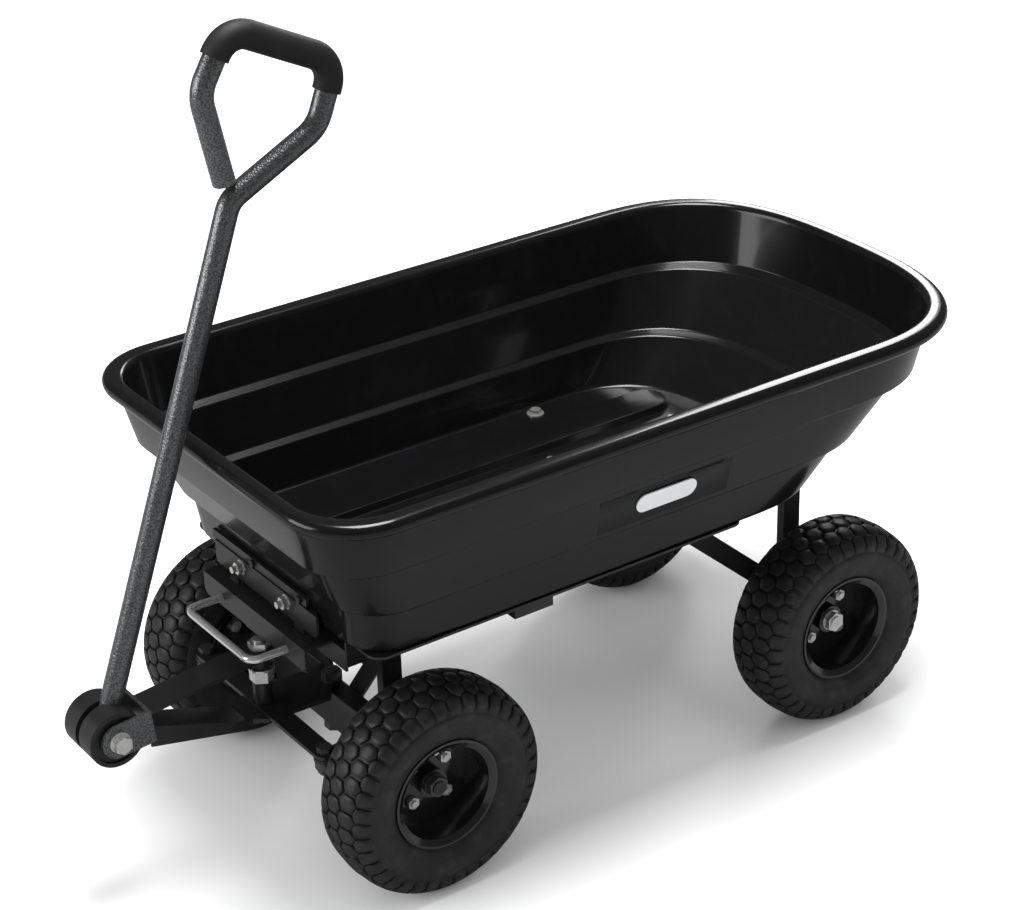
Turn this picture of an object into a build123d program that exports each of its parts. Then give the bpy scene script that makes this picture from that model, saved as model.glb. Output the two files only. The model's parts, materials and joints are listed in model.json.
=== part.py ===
"""Four-wheel dump cart: a tipping poly tub on a steel chassis with linked front steering.

Millimetres. +X is the right-hand side seen from behind the cart looking forward along -Y,
the drawbar points to -Y, the tub tips over the rear end (+Y), and +Z is up.
Shapes are drawn with the front axle at Y = 0, and export() moves them so that the origin
ends up under the middle of the cart, on the ground.
"""
from build123d import *
import math
import os

# ---- driving sizes -------------------------------------------------------------------
wheelbase = 576.0
track = 406.0
tyre_diameter = 255.0
tyre_width = 85.0
rim_diameter = 118.0
rim_width = 62.0
axle_diameter = 16.0
hub_diameter = 34.0
hub_outer = 6.0
hub_inner = -38.0
disc_offset = -8.0
axle_thread = 12.0
wheel_bolt_circle = 62.0

tub_half_width = 252.0
tub_front_y = -142.0
tub_rear_y = 779.0
tub_floor_z = 300.0
tub_rim_z = 488.0
tub_wall = 3.5
rim_roll_radius = 9.0
rim_roll_offset = 12.0

frame_half_width = 197.0
rail_web_x = 134.0
rail_top_z = 299.5
rail_depth = 37.5
rail_flange_end_y = 450.0
rail_front_y = -58.0
steel = 3.0

beam_rise = 27.5
beam_height = 50.0
beam_width = 25.0
beam_half_length = 105.0

kingpin_x = 132.0
kingpin_diameter = 14.0
steering_arm_length = 90.0
link_plate = 4.5
link_gap = 0.5

hinge_z = 282.0
hinge_pin_diameter = 10.0
hinge_lug_radius = 14.0

handle_pivot_y = -286.0
handle_pivot_z = 205.0
handle_lean = 19.9
handle_tube_diameter = 25.0
handle_straight = 596.0
loop_lean = 6.0
loop_side = 70.6
loop_half_width = 74.0
loop_leg_angle = 39.0
grip_diameter = 31.0
hub_disc_radius = 33.0

lever_half_width = 71.0
lever_rod = 9.0
lever_z = 268.0
latch_face_y = -95.0
catch_face_y = -77.5

floor_rib_x = 111.0
floor_rib_width = 58.0
floor_rib_height = 9.0
floor_rib_front_y = -20.0
floor_rib_rear_y = 572.0
badge_y = 312.0
badge_rise = 89.0

mid_member_y = 155.0
leg_depth = 12.0
leg_half_width = 12.5
brace_thickness = 4.0
brace_width = 24.0
brace_run = 164.0

strap_x = 52.0
strap_width = 24.0
strap_front_y = 334.0
strap_bolt_y = (354.0, 540.0)
buffer_bolt_inset = 77.0
buffer_bolt_y = 418.0
catch_half_width = 110.0
catch_bolt_x = 49.0
catch_bolt_z = 311.5
upper_screw_x = (-25.0, 75.0)
upper_screw_z = 326.0
shelf_top_z = 285.0
shelf_bolt_x = 40.0
lever_front_y = -140.0

drawbar_tilt = 5.5
yoke_gap = 62.0
yoke_length = 46.0
yoke_height = 40.0
link_pin_diameter = 14.0

bolt = 8.0
bolt_hole = 8.4
bolt_flats = 13.0
frame_bolt_z = 272.0
running = 0.05
clear = 0.4

# ---- sizes that follow ---------------------------------------------------------------
axle_z = tyre_diameter / 2
wheel_x = track / 2
rear_axle_y = wheelbase
hinge_y = wheelbase
beam_top_z = axle_z + beam_rise
beam_bottom_z = beam_top_z - beam_height
tongue_plate_z = beam_top_z + link_gap
tongue_plate_top = tongue_plate_z + link_plate
tie_bar_z = tongue_plate_top + link_gap
tie_bar_top = tie_bar_z + link_plate
web_bottom_z = rail_top_z - rail_depth
brace_top_y = wheelbase - brace_run
frame_bolt_y = (0.0, brace_top_y)
shelf_bolt_y = rail_front_y + 12.0
lever_rear_y = catch_face_y - 0.6
yoke_back_y = handle_pivot_y + yoke_length - 4.0
pin_y = -steering_arm_length
buffer_bolt_x = tub_half_width - buffer_bolt_inset
floor_bolts = [(side * strap_x, y) for side in (-1, 1) for y in strap_bolt_y]
floor_bolts += [(side * buffer_bolt_x, buffer_bolt_y) for side in (-1, 1)]
hub_front_y = handle_pivot_y - hub_disc_radius
rear_extent_y = tub_rear_y + rim_roll_radius
origin_shift = -(hub_front_y + rear_extent_y) / 2

os.makedirs("parts", exist_ok=True)


def export(name, *solids):
    """Write one node, moved to the shared origin."""
    moved = []
    for solid in solids:
        for piece in solid.solids():
            moved.append(Pos(0, origin_shift, 0) * piece)
    shape = moved[0] if len(moved) == 1 else Compound(children=moved)
    export_step(shape, f"parts/{name}.step")


def block(x_range, y_range, z_range):
    """A box between two corners."""
    size = [high - low for low, high in (x_range, y_range, z_range)]
    centre = [(high + low) / 2 for low, high in (x_range, y_range, z_range)]
    return Pos(*centre) * Box(*size)


def across(side, inner, outer):
    """Range of X on one side of the cart, between two distances from its middle."""
    return (inner, outer) if side > 0 else (-outer, -inner)


def rod_z(x, y, z_low, z_high, diameter):
    """An upright round bar."""
    return Pos(x, y, (z_low + z_high) / 2) * Cylinder(diameter / 2, z_high - z_low)


def rod_x(x_low, x_high, y, z, diameter):
    """A round bar across the cart."""
    return Pos((x_low + x_high) / 2, y, z) * Rot(0, 90, 0) * Cylinder(diameter / 2, x_high - x_low)


def rod_y(x, y_low, y_high, z, diameter):
    """A round bar along the cart."""
    return Pos(x, (y_low + y_high) / 2, z) * Rot(90, 0, 0) * Cylinder(diameter / 2, y_high - y_low)


def hexagon_z(x, y, z_low, height, across_flats):
    """A nut or bolt head standing upright."""
    return Pos(x, y, z_low) * extrude(RegularPolygon(across_flats / 2, 6, major_radius=False), height)


def hexagon_x(x_low, y, z, height, across_flats):
    """A nut or bolt head across the cart."""
    return Pos(x_low, y, z) * Rot(0, 90, 0) * extrude(RegularPolygon(across_flats / 2, 6, major_radius=False), height)


def hexagon_y(x, y_high, z, height, across_flats):
    """A nut or bolt head along the cart, growing towards the front."""
    return Pos(x, y_high, z) * Rot(90, 0, 0) * extrude(RegularPolygon(across_flats / 2, 6, major_radius=False), height)


def bar_between(start, end, width, thickness, normal):
    """A flat bar with rounded ends from one point to another, its face square to normal."""
    start = Vector(*start)
    end = Vector(*end)
    along = end - start
    middle = (start + end) * 0.5
    unit = along.normalized()
    face = Vector(*normal)
    square = face - unit * face.dot(unit)
    plane = Plane(origin=middle, x_dir=along, z_dir=square)
    return plane * extrude(SlotCenterToCenter(along.length, width), thickness)


# ---- tub -----------------------------------------------------------------------------
def tub_outline(half_width, front_y, rear_y, rear_depth, corner):
    """Tub plan: round front corners, straight sides and a full, nearly elliptical rear end."""
    power = 2 / 2.8
    shoulder_y = rear_y - rear_depth
    steps = 8
    rear = []
    for step in range(2 * steps + 1):
        turn = math.pi * step / (2 * steps)
        side = math.copysign(abs(math.cos(turn)) ** power, math.cos(turn))
        rear.append((half_width * side, shoulder_y + rear_depth * math.sin(turn) ** power))
    rear[0] = (half_width, shoulder_y)
    rear[-1] = (-half_width, shoulder_y)
    inner = half_width - corner
    with BuildLine() as outline:
        Line((half_width, front_y + corner), (half_width, shoulder_y))
        Spline(*rear, tangents=[(0, 1), (0, -1)])
        Line((-half_width, shoulder_y), (-half_width, front_y + corner))
        RadiusArc((-half_width, front_y + corner), (-inner, front_y), -corner)
        Line((-inner, front_y), (inner, front_y))
        RadiusArc((inner, front_y), (half_width, front_y + corner), -corner)
    return make_face(outline.line)


tub_levels = [
    # height, half width, front, rear, depth of the round rear end, front corner
    (tub_floor_z, tub_half_width - 55, tub_front_y + 76, tub_rear_y - 172, 150, 50),
    (tub_floor_z + 54, tub_half_width - 47, tub_front_y + 68, tub_rear_y - 112, 170, 54),
    (tub_floor_z + 58, tub_half_width - 37, tub_front_y + 58, tub_rear_y - 99, 176, 60),
    (tub_floor_z + 122, tub_half_width - 22, tub_front_y + 29, tub_rear_y - 38, 186, 64),
    (tub_floor_z + 126, tub_half_width - 11, tub_front_y + 17, tub_rear_y - 22, 196, 70),
    (tub_rim_z, tub_half_width, tub_front_y, tub_rear_y - 9, 200, 75),
]
rim_levels = [
    (-rim_roll_radius + 7, 0.62),
    (0.0, 0.9),
    (7.0, 1.0),
    (12.5, 0.85),
    (16.0, 0.45),
]


def level_face(level, inset=0.0, lift=0.0):
    height, half_width, front_y, rear_y, depth, corner = level
    face = tub_outline(half_width - inset, front_y + inset, rear_y - inset, depth - inset, corner - inset / 2)
    return Pos(0, 0, height + lift) * face


def stack(faces):
    """Straight walls from each outline to the next."""
    body = None
    for lower, upper in zip(faces, faces[1:]):
        tier = Solid.make_loft([lower.face().outer_wire(), upper.face().outer_wire()], True)
        body = tier if body is None else body + tier
    return body


def rim_faces(shrink):
    """Outlines up the rolled rim; shrink is the distance in from the roll's outside."""
    faces = []
    for rise, reach in rim_levels:
        out = (rim_roll_offset + rim_roll_radius) * reach - shrink
        face = tub_outline(tub_half_width + out, tub_front_y - out * 0.45, tub_rear_y - 9 + out * 0.86,
                           200 + out, 75 + out / 2)
        faces.append(Pos(0, 0, tub_rim_z + rise) * face)
    return faces


def make_tub():
    outside = stack([level_face(level) for level in tub_levels])
    lip = stack(rim_faces(0.0))
    cavity_levels = [level_face(tub_levels[0], tub_wall, tub_wall)]
    cavity_levels += [level_face(level, tub_wall, tub_wall) for level in tub_levels[1:-1]]
    top = tub_levels[-1]
    cavity_levels.append(level_face(top, tub_wall, 30.0))
    cavity = stack(cavity_levels)
    shell = outside + lip - cavity
    for x in (-floor_rib_x, 0.0, floor_rib_x):
        shell = shell + make_floor_rib(x)
    for x, y in floor_bolts:
        shell = shell - rod_z(x, y, tub_floor_z - 5, tub_floor_z + 20, bolt_hole)
    for x in (-catch_bolt_x, catch_bolt_x):
        shell = shell - rod_y(x, catch_face_y - 5, catch_face_y + 30, catch_bolt_z, bolt_hole)
    return shell


def make_floor_rib(x):
    """Raised rib along the tub floor with round ends and leaning sides."""
    length = floor_rib_rear_y - floor_rib_front_y
    middle_y = (floor_rib_rear_y + floor_rib_front_y) / 2
    outline = Pos(x, middle_y, tub_floor_z + tub_wall - 0.5) * Rot(0, 0, 90) * SlotOverall(length, floor_rib_width)
    return extrude(outline, floor_rib_height + 0.5, taper=20)


def make_hinge_strap(side):
    """Angle under the tub floor with the pivot lug hanging from it."""
    centre = side * strap_x
    leaf_top = tub_floor_z - 0.2
    leaf = block((centre - strap_width / 2, centre + strap_width / 2), (strap_front_y, hinge_y + 8),
                 (leaf_top - steel, leaf_top))
    lug_inner = centre + side * (strap_width / 2 - steel)
    lug_outer = centre + side * strap_width / 2
    lug = block((min(lug_inner, lug_outer), max(lug_inner, lug_outer)),
                (strap_front_y, hinge_y), (leaf_top - 14, leaf_top))
    eye = rod_x(min(lug_inner, lug_outer), max(lug_inner, lug_outer), hinge_y, hinge_z, 2 * hinge_lug_radius)
    strap = leaf + lug + eye
    strap = strap - rod_x(centre - 20, centre + 20, hinge_y, hinge_z, hinge_pin_diameter + 2 * running)
    for x, y in floor_bolts:
        if x == side * strap_x:
            strap = strap - rod_z(x, y, tub_floor_z - 20, tub_floor_z + 5, bolt_hole)
    return strap


def make_catch_plate():
    """Angle on the tub's front wall: an upright leaf with two tongues that drop through the latch shelf."""
    leaf = block((-catch_half_width, catch_half_width), (catch_face_y, catch_face_y + steel), (292, 320))
    leaf = fillet(leaf.edges().filter_by(Axis.Y).sort_by(Axis.Z)[:2], 9)
    plate = leaf
    for side in (-1, 1):
        centre = side * lever_half_width
        tongue = block((centre - 10, centre + 10), (catch_face_y, catch_face_y + steel), (lever_z - 9, 300))
        plate = plate + tongue
        plate = plate - rod_y(centre, catch_face_y - 5, catch_face_y + 10, lever_z, lever_rod + 1.0)
        plate = plate - rod_y(side * catch_bolt_x, catch_face_y - 5, catch_face_y + 10, catch_bolt_z, bolt_hole)
    return plate


def make_catch_spacer():
    """Packing strip between the catch plate and the sloping tub wall."""
    strip = block((-catch_half_width + 12, catch_half_width - 12),
                  (catch_face_y + steel + 0.2, tub_front_y + 72.8), (301, 319))
    for side in (-1, 1):
        strip = strip - rod_y(side * catch_bolt_x, catch_face_y - 5, catch_face_y + 20, catch_bolt_z, bolt_hole)
    return strip


def make_upper_strip():
    """Dark bar above the catch plate, held to the tub wall by two small screws."""
    strip = block((-catch_half_width - 6, 88), (tub_front_y + 66, tub_front_y + 70.8), (320.6, 331))
    for x in upper_screw_x:
        screw = hexagon_y(x, tub_front_y + 66.2, upper_screw_z, 3.6, 8)
        strip = strip + screw
    return strip


# ---- chassis -------------------------------------------------------------------------
def make_rail(side):
    """Side rail: wide top flange that carries the tub, upright web, hinge eye at the rear."""
    flange = block(across(side, rail_web_x, frame_half_width), (rail_front_y, rail_flange_end_y),
                   (rail_top_z - steel, rail_top_z))
    corner = flange.edges().filter_by(Axis.Z).group_by(Axis.X)[-1 if side > 0 else 0]
    flange = fillet(corner, 18)
    web = block(across(side, rail_web_x, rail_web_x + steel), (rail_front_y, hinge_y), (web_bottom_z, rail_top_z - steel))
    behind = block(across(side, rail_web_x - 1, rail_web_x + steel + 1), (rail_flange_end_y, hinge_y + 30),
                   (hinge_z + hinge_lug_radius, rail_top_z + 5))
    eye = rod_x(*across(side, rail_web_x, rail_web_x + steel), hinge_y, hinge_z, 2 * hinge_lug_radius)
    rail = flange + web - behind + eye
    gusset = block(across(side, rail_web_x + steel, frame_half_width - 10), (mid_member_y - 26, mid_member_y + 26),
                   (rail_top_z - steel - 18, rail_top_z - steel))
    hollow = block(across(side, rail_web_x + steel, frame_half_width - 10 - steel), (mid_member_y - 23, mid_member_y + 23),
                   (rail_top_z - steel - 18, rail_top_z - steel - 3))
    rail = rail + (gusset - hollow)
    rail = rail - rod_x(*across(side, rail_web_x - 5, rail_web_x + 10), hinge_y, hinge_z, hinge_pin_diameter + 2 * running)
    rail = rail - rod_z(side * buffer_bolt_x, buffer_bolt_y, rail_top_z - 10, rail_top_z + 5, 20)
    for y in frame_bolt_y:
        rail = rail - rod_x(*across(side, rail_web_x - 5, rail_web_x + 10), y, frame_bolt_z, bolt_hole)
    return rail


def make_cross_member(y_low, y_high, top_z, depth):
    """Channel across the frame between the rail webs, open side down."""
    half = rail_web_x - 0.2
    outer = block((-half, half), (y_low, y_high), (top_z - depth, top_z))
    inner = block((-half - 1, half + 1), (y_low + steel, y_high - steel), (top_z - depth - 1, top_z - steel))
    member = outer - inner
    for x in (-shelf_bolt_x, shelf_bolt_x):
        member = member - rod_z(x, shelf_bolt_y, top_z - steel - 1, top_z + 1, bolt_hole)
    return member


def make_leg(side, y, bottom_z, top_z):
    """Upright channel, its web facing out and bolted to the inside of the rail web."""
    outer_x = rail_web_x - 0.2
    outer = block(across(side, outer_x - leg_depth, outer_x), (y - leg_half_width, y + leg_half_width), (bottom_z, top_z))
    inner = block(across(side, outer_x - leg_depth - 1, outer_x - steel),
                  (y - leg_half_width + steel, y + leg_half_width - steel), (bottom_z - 1, top_z + 1))
    leg = outer - inner
    through = across(side, outer_x - 20, outer_x + 5)
    if y == rear_axle_y:
        leg = leg - rod_x(*through, y, hinge_z, hinge_pin_diameter + 2 * running)
        return leg - rod_x(*through, y, axle_z, axle_diameter + 2 * running)
    foot = block(across(side, 88, outer_x), (y - leg_half_width, y + leg_half_width), (bottom_z, bottom_z + steel))
    pad = block(across(side, 88, 106), (y - 6, y + leg_half_width), (beam_top_z + 0.2, bottom_z + 1))
    return leg + foot + pad - rod_x(*through, y, frame_bolt_z, bolt_hole)


def make_beam():
    """Front axle beam: a rectangular tube across the cart with the drawbar pivot through its middle."""
    wall = 2.5
    outer = block((-beam_half_length, beam_half_length), (-beam_width / 2, beam_width / 2),
                  (beam_bottom_z, beam_top_z))
    outer = fillet(outer.edges().filter_by(Axis.X), 3)
    inner = block((-beam_half_length - 1, beam_half_length + 1), (-beam_width / 2 + wall, beam_width / 2 - wall),
                  (beam_bottom_z + wall, beam_top_z - wall))
    return outer - inner - rod_z(0, 0, beam_bottom_z - 5, beam_top_z + 5, kingpin_diameter + 2 * running)


def make_knuckle_bracket(side):
    """C-shaped strap on the end of the beam that holds the kingpin top and bottom."""
    strap = 4.0
    reach = 14.0
    inner_x = beam_half_length + 0.2

    half = beam_width / 2
    outer = block(across(side, inner_x, kingpin_x), (-half, half), (beam_bottom_z, beam_top_z))
    for z_low in (beam_bottom_z, beam_top_z - strap):
        outer = outer + rod_z(side * kingpin_x, 0, z_low, z_low + strap, 2 * reach - 3)
    hollow = block(across(side, inner_x + strap, kingpin_x + reach + 2), (-half - 5, half + 5),
                   (beam_bottom_z + strap, beam_top_z - strap))
    bracket = outer - hollow
    return bracket - rod_z(side * kingpin_x, 0, beam_bottom_z - 5, beam_top_z + 5, kingpin_diameter + 2 * running)


def make_latch_bracket():
    """Shelf and upright face in front of the frame that carries the release lever."""
    shelf_half = catch_half_width + 1
    face = block((-shelf_half, shelf_half), (latch_face_y, latch_face_y + steel), (lever_z - 11, shelf_top_z))
    face = fillet(face.edges().filter_by(Axis.Y).sort_by(Axis.Z)[:2], 9)
    shelf = block((-shelf_half, shelf_half), (latch_face_y, rail_front_y + 24), (shelf_top_z - steel, shelf_top_z))
    tab = block((-28, 28), (latch_face_y + 5, latch_face_y + 8), (lever_z - 19, shelf_top_z - steel))
    bracket = face + shelf + tab
    for side in (-1, 1):
        bracket = bracket - rod_y(side * lever_half_width, latch_face_y - 5, latch_face_y + 10, lever_z,
                                  lever_rod + 2 * running)
        slot = block((side * lever_half_width - 12, side * lever_half_width + 12),
                     (catch_face_y - 2.5, catch_face_y + steel + 2.5), (shelf_top_z - 10, shelf_top_z + 5))
        bracket = bracket - slot
        bracket = bracket - rod_z(side * shelf_bolt_x, shelf_bolt_y, shelf_top_z - 10, shelf_top_z + 5, bolt_hole)
    return bracket


# ---- drawbar -------------------------------------------------------------------------
def make_tongue():
    """Lower drawbar arm: a channel from the yoke down to the plate that turns on the beam."""
    front = (yoke_back_y + 2.0, 186.0)
    knee_y = pin_y - 33.0
    with BuildSketch(Plane.YZ) as side_view:
        with BuildLine():
            Polyline((front[0], front[1] + 13), (front[0], front[1] - 13), (knee_y - 11, tongue_plate_z - 6),
                     (knee_y + 20, tongue_plate_z), (0, tongue_plate_z), (0, tongue_plate_top),
                     (knee_y, tongue_plate_top), close=True)
        make_face()
    with BuildSketch(Plane.XY.offset(100)) as plan:
        with BuildLine():
            Polyline((-20, front[0] - 1), (20, front[0] - 1), (20, pin_y - 26), (32, pin_y - 12),
                     (34, -22), (0, 2), (-34, -22), (-32, pin_y - 12), (-20, pin_y - 26), close=True)
        make_face()
        Circle(12)
    plate = extrude(plan.sketch, 150)
    profile = extrude(side_view.sketch, 40, both=True)
    arm = profile & plate
    end = rod_z(0, 0, tongue_plate_z, tongue_plate_top, 24)
    hollow = block((-20 + steel, 20 - steel), (front[0] - 5, pin_y - 30), (100, 210))
    floor_cut = Pos(0, 0, -steel * 1.05) * (profile & hollow)
    arm = arm - floor_cut + end
    arm = arm - rod_z(0, 0, tongue_plate_z - 5, tongue_plate_top + 5, kingpin_diameter)
    return arm - rod_z(0, pin_y, tongue_plate_z - 5, tongue_plate_top + 5, link_pin_diameter)


def make_upper_arm():
    """Upper drawbar arm: a flat plate from the yoke to the top of the link pin."""
    length = pin_y + 20 - yoke_back_y
    plate = block((-20, 20), (0, length), (0, 5))
    plate = fillet(plate.edges().filter_by(Axis.Z).group_by(Axis.Y)[-1], 16)
    slope = Pos(0, yoke_back_y - 0.4, 213.0) * Rot(drawbar_tilt, 0, 0)
    arm = slope * plate
    return arm - rod_z(0, pin_y, 200, 260, link_pin_diameter)


def make_yoke():
    """U-shaped fork that clamps the handle hub."""
    ear = 4.0
    half = yoke_gap / 2
    plates = []
    for side in (-1, 1):
        x_low = half if side > 0 else -half - ear
        flat = block((x_low, x_low + ear), (0, yoke_length - 4), (-yoke_height / 2, yoke_height / 2))
        nose = rod_x(x_low, x_low + ear, 0, 0, yoke_height)
        plates.append(flat + nose)
    back = block((-half - ear, half + ear), (yoke_length - 8, yoke_length - 4), (-yoke_height / 2, yoke_height / 2))
    yoke = plates[0] + plates[1] + back
    yoke = yoke - rod_x(-80, 80, 0, 0, 12 + 2 * running)
    return Pos(0, handle_pivot_y, handle_pivot_z) * Rot(drawbar_tilt, 0, 0) * yoke


def make_link_pin():
    """Upright bolt with its head under the drawbar plate, spacer tubes, washer and nuts."""
    low = tongue_plate_z - 8
    bolt = rod_z(0, pin_y, low, 246, link_pin_diameter - 2 * running) + hexagon_z(0, pin_y, low - 2, 8, 22)
    washer = rod_z(0, pin_y, 208.2, 210.8, 30)
    nut = hexagon_z(0, pin_y, 193.5, 14.5, 24)
    cap = hexagon_z(0, pin_y, 235.0, 8, 22)
    bore = rod_z(0, pin_y, 150, 250, link_pin_diameter - running)
    return [bolt, washer - bore, nut - bore, cap - bore]


def make_spacers():
    """Dark spacer tubes on the link pin, below and above its middle nut."""
    bore = rod_z(0, pin_y, 150, 250, link_pin_diameter)
    lower = rod_z(0, pin_y, tie_bar_top + 0.4, 193.3, 22) - bore
    upper = rod_z(0, pin_y, 211.0, 226.0, 22) - bore
    return [lower, upper]


def make_kingpin_bolt():
    """Pivot bolt of the drawbar through the front beam."""
    shank = rod_z(0, 0, beam_bottom_z - 12, tongue_plate_top + 12, kingpin_diameter - 0.1)
    head = hexagon_z(0, 0, tongue_plate_top + 1.6, 9, 21)
    washer = rod_z(0, 0, tongue_plate_top + 0.1, tongue_plate_top + 1.6, 24)
    nut = hexagon_z(0, 0, beam_bottom_z - 10, 9, 21)
    return shank + head + washer + nut


# ---- steering linkage ----------------------------------------------------------------
def make_tie_bar():
    """Flat bar that joins both steering arms to the drawbar."""
    bar = Pos(0, pin_y, tie_bar_z) * extrude(SlotCenterToCenter(2 * kingpin_x, 25), link_plate)
    bar = bar - rod_z(0, pin_y, tie_bar_z - 5, tie_bar_top + 5, link_pin_diameter + 2 * running)
    for side in (-1, 1):
        bar = bar - rod_z(side * kingpin_x, pin_y, tie_bar_z - 5, tie_bar_top + 5, 10 + 2 * running)
    return bar


def make_steering_arm(side):
    """Arm and kingpin in one piece, with the nut under the kingpin and a hole for the link bolt."""
    arm = Pos(side * kingpin_x, pin_y / 2, tongue_plate_z) * Rot(0, 0, 90)
    arm = arm * extrude(SlotCenterToCenter(steering_arm_length, 26), link_plate)
    pin = rod_z(side * kingpin_x, 0, beam_bottom_z - 14, tongue_plate_z + 1, kingpin_diameter)
    nut = hexagon_z(side * kingpin_x, 0, beam_bottom_z - 10, 9.6, 21)
    return arm + pin + nut - rod_z(side * kingpin_x, pin_y, 100, 200, 10)


def make_link_bolts(side):
    """Bolt, head, bush and nut at the end of a steering arm."""
    x = side * kingpin_x
    shank = rod_z(x, pin_y, tongue_plate_z - 16, tie_bar_top + 5, 9.9)
    head = hexagon_z(x, pin_y, tie_bar_top + 0.3, 6.5, 16)
    nut = hexagon_z(x, pin_y, tongue_plate_z - 17, 7, 16)
    return shank + head + nut


def make_link_bush(side):
    """Black bush under the steering arm's end."""
    x = side * kingpin_x
    bush = rod_z(x, pin_y, tongue_plate_z - 9.5, tongue_plate_z - 0.2, 24)
    return bush - rod_z(x, pin_y, 100, 200, 10)


def make_spindle(side):
    """Kingpin sleeve with the stub axle welded to it."""
    strap = 4.0
    low = beam_bottom_z + strap + clear
    high = beam_top_z - strap - clear
    sleeve = rod_z(side * kingpin_x, 0, low, high, 24)
    start = side * (kingpin_x + 4)
    end = side * (wheel_x + hub_outer + axle_thread)
    stub = rod_x(min(start, end), max(start, end), 0, axle_z, axle_diameter)
    shoulder_end = side * (wheel_x + hub_inner - clear)
    shoulder = rod_x(min(start, shoulder_end), max(start, shoulder_end), 0, axle_z, 22)
    return sleeve + stub + shoulder - rod_z(side * kingpin_x, 0, 80, 180, kingpin_diameter + 2 * running)


# ---- wheels --------------------------------------------------------------------------
def ring_x(profile_points, x, y):
    """Turn a closed profile (radius, offset along the axle) about the axle line."""
    with BuildSketch(Plane.XZ) as section:
        with BuildLine():
            Polyline(*[(offset, radius) for radius, offset in profile_points], close=True)
        make_face()
    return Pos(x, y, axle_z) * revolve(section.sketch, Axis.X)


def both_sides(points):
    """A run of profile points given for one side, then carried over to the other side."""
    mirrored = [(radius, -offset) for radius, offset in reversed(points)]
    run = list(points)
    return run + [point for point in mirrored if point not in run]


def make_tyre(x, y):
    """Pneumatic tyre: rounded tread, sidewalls and beads on the rim."""
    r = tyre_diameter / 2
    w = tyre_width / 2
    bead = rim_diameter / 2 + 0.3
    half_seat = rim_width / 2
    outside = [(bead, half_seat - 3.8), (bead + 6.5, half_seat + 0.4), (bead + 8, half_seat + 1), (r * 0.62, w - 3),
               (r * 0.76, w), (r * 0.88, w - 3), (r * 0.96, w - 12), (r, w * 0.45)]
    inside = [(bead + 9, 8 - half_seat), (r * 0.74, 9 - w), (r * 0.9, 14 - w), (r - 11, -w * 0.35)]
    return ring_x(both_sides(outside) + both_sides(inside), x, y)


def make_rim(x, y, side):
    """Pressed steel rim with a deep dish that carries the hub."""
    seat = rim_diameter / 2
    half = rim_width / 2
    dish = disc_offset * side
    t = 2.5
    bed = [(seat + 7, half + 3), (seat + 6, half + 1), (seat, half - 3), (seat - 3, 0)]
    dish_side = [(seat + 4, -half - 3), (seat - t, 1 - half), (seat - t - 3, 0)]
    rim = ring_x(both_sides(bed) + both_sides(dish_side), x, y)
    disc = Pos(x + dish, y, axle_z) * Rot(0, 90, 0) * Cylinder(seat - t - 1.2, t)
    rim = rim + disc
    rim = rim - rod_x(x - 60, x + 60, y, axle_z, hub_diameter + 0.2)
    for index in range(4):
        angle = math.radians(45 + 90 * index)
        dy = math.cos(angle) * wheel_bolt_circle / 2
        dz = math.sin(angle) * wheel_bolt_circle / 2
        rim = rim - rod_x(x - 60, x + 60, y + dy, axle_z + dz, 8.4)
    valve_z = axle_z + seat - 14
    return rim - rod_x(x - 60, x + 60, y, valve_z, 8.2)


def make_hub(x, y, side):
    """Hub tube with its flange and a bearing at each end."""
    low, high = sorted((x + side * hub_inner, x + side * hub_outer))
    tube = rod_x(low, high, y, axle_z, hub_diameter)
    flange_x = x + side * (disc_offset - 3.4)
    flange = Pos(flange_x, y, axle_z) * Rot(0, 90, 0) * Cylinder(wheel_bolt_circle / 2 + 9, 4)
    hub = tube + flange
    hub = hub - rod_x(x - 60, x + 60, y, axle_z, axle_diameter + 2 * running)
    for index in range(4):
        angle = math.radians(45 + 90 * index)
        dy = math.cos(angle) * wheel_bolt_circle / 2
        dz = math.sin(angle) * wheel_bolt_circle / 2
        hub = hub - rod_x(x - 60, x + 60, y + dy, axle_z + dz, 8.4)
    return hub


def make_wheel_fasteners(x, y, side):
    """Four wheel bolts with nuts, and the valve stem through the rim disc."""
    solids = []
    plate_x = x + disc_offset * side
    for index in range(4):
        angle = math.radians(45 + 90 * index)
        dy = math.cos(angle) * wheel_bolt_circle / 2
        dz = math.sin(angle) * wheel_bolt_circle / 2
        inner = plate_x - side * 12
        outer = plate_x + side * 9
        shank = rod_x(min(inner, outer), max(inner, outer), y + dy, axle_z + dz, 8)
        head_x = plate_x + side * 1.4 if side > 0 else plate_x - 1.4 - 5
        nut_x = plate_x - 5.6 - 6 if side > 0 else plate_x + 5.6
        solids.append(shank + hexagon_x(head_x, y + dy, axle_z + dz, 5, 13)
                      + hexagon_x(nut_x, y + dy, axle_z + dz, 6, 13))
    valve_z = axle_z + rim_diameter / 2 - 14
    low = plate_x - side * 10
    high = plate_x + side * 22
    solids.append(rod_x(min(low, high), max(low, high), y, valve_z, 8))
    return solids


# ---- handle --------------------------------------------------------------------------
handle_frame = Plane(
    origin=(0, handle_pivot_y, handle_pivot_z),
    x_dir=(0, math.cos(math.radians(handle_lean)), -math.sin(math.radians(handle_lean))),
    z_dir=(1, 0, 0),
)


def loop_point(across, up):
    """A point of the loop, measured from its neck along the loop's own leaning axis."""
    turn = math.radians(loop_lean)
    return (across * math.cos(turn) + up * math.sin(turn),
            handle_straight + up * math.cos(turn) - across * math.sin(turn))


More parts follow.
